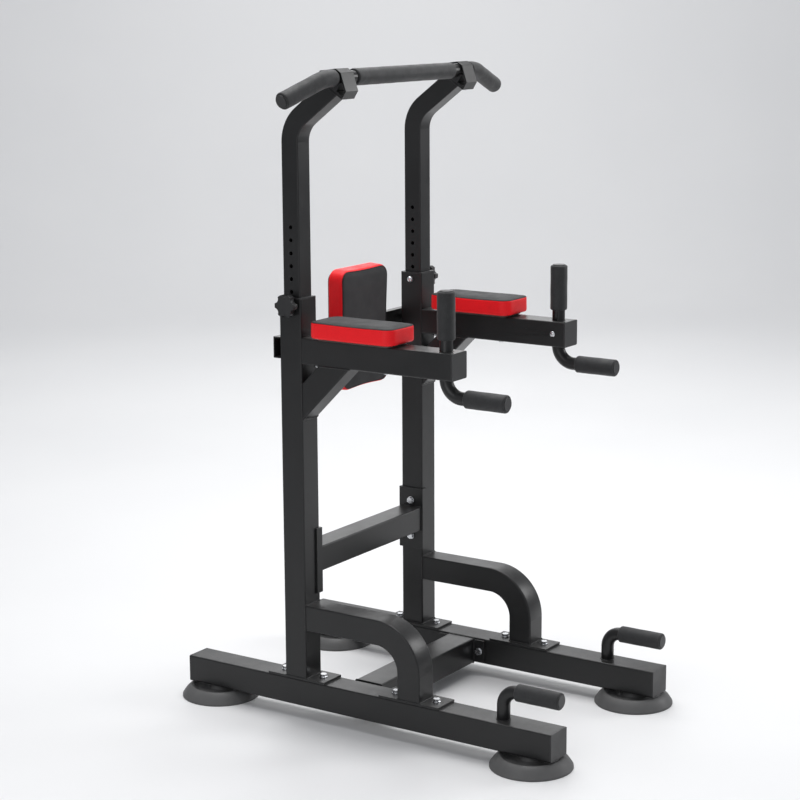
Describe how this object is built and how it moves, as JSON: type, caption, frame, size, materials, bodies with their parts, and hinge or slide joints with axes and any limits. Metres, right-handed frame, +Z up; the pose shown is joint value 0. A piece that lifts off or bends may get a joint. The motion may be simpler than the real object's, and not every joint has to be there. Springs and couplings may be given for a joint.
{
  "type": "power tower",
  "caption": "Free-standing exercise tower with a height-adjustable pull-up bar, padded dip arms, back pad and push-up grips on suction feet.",
  "frame": {"origin": "on the floor, at the middle of the footprint", "axes": "+X to the user's right when the user stands on the open side with the back against the pad, +Z up; the open front faces -Y"},
  "size_m": [0.9754, 1.154, 1.6514],
  "materials": {
    "frame_steel": "satin powder coat",
    "black_plastic": "fine moulded texture",
    "rubber": "matt moulded rubber",
    "foam": "closed-cell foam, matt",
    "zinc": "bright zinc plate",
    "vinyl": "red and dark grey grained vinyl",
    "board": "dark plywood backing"
  },
  "bodies": {
    "base": {"left_rail": "frame_steel", "right_rail": "frame_steel", "base_beam": "frame_steel", "left_upright": "frame_steel", "right_upright": "frame_steel", "left_arch": "frame_steel", "right_arch": "frame_steel", "mid_crossbar": "frame_steel", "rear_channel": "frame_steel", "left_arm": "frame_steel", "right_arm": "frame_steel", "left_arm_brace": "frame_steel", "right_arm_brace": "frame_steel", "left_dip_handle": "frame_steel", "right_dip_handle": "frame_steel", "left_pushup_handle": "frame_steel", "right_pushup_handle": "frame_steel", "rail_end_caps": "black_plastic", "arm_end_caps": "black_plastic", "handle_plugs": "black_plastic", "post_guides": "black_plastic", "front_left_foot": "rubber", "front_right_foot": "rubber", "rear_left_foot": "rubber", "rear_right_foot": "rubber", "dip_upper_grips": "foam", "dip_lower_grips": "foam", "pushup_grips": "foam", "base_beam_bolts": "zinc", "foot_studs": "zinc", "foot_plate_bolts": "zinc", "mid_crossbar_bolts": "zinc", "rear_channel_bolts": "zinc", "arm_bolts": "zinc", "arm_pad_screws": "zinc", "back_pad_screws": "zinc", "dip_handle_bolts": "zinc", "lock_nuts": "zinc", "left_arm_pad": "vinyl", "right_arm_pad": "vinyl", "back_pad": "vinyl", "arm_pad_boards": "board", "back_pad_board": "board"},
    "upper": {"left_post": "frame_steel", "right_post": "frame_steel", "bar_saddles": "black_plastic", "bar_straps": "frame_steel", "bar_clamp_bolts": "zinc", "pullup_bar": "frame_steel", "bar_center_grip": "foam", "left_bar_grip": "foam", "right_bar_grip": "foam", "bar_end_plugs": "black_plastic"},
    "left_washer": {"left_lock_washer": "zinc"},
    "right_washer": {"right_lock_washer": "zinc"},
    "left_knob": {"left_lock_knob": "black_plastic"},
    "right_knob": {"right_lock_knob": "black_plastic"}
  },
  "joints": [
    {"name": "height_slide", "type": "slide", "parent": "base", "child": "upper", "axis": [0, 0, 1], "range_m": [-0.192, 0.384]},
    {"name": "left_bolt_pull", "type": "slide", "parent": "base", "child": "left_washer", "axis": [-1, 0, 0], "range_m": [0, 0.066]},
    {"name": "right_bolt_pull", "type": "slide", "parent": "base", "child": "right_washer", "axis": [1, 0, 0], "range_m": [0, 0.066]},
    {"name": "left_knob_turn", "type": "hinge", "parent": "left_washer", "child": "left_knob", "pos_m": [-0.31, 0.1985, 1.0725], "axis": [-1, 0, 0], "continuous": true},
    {"name": "right_knob_turn", "type": "hinge", "parent": "right_washer", "child": "right_knob", "pos_m": [0.31, 0.1985, 1.0725], "axis": [1, 0, 0], "continuous": true}
  ]
}
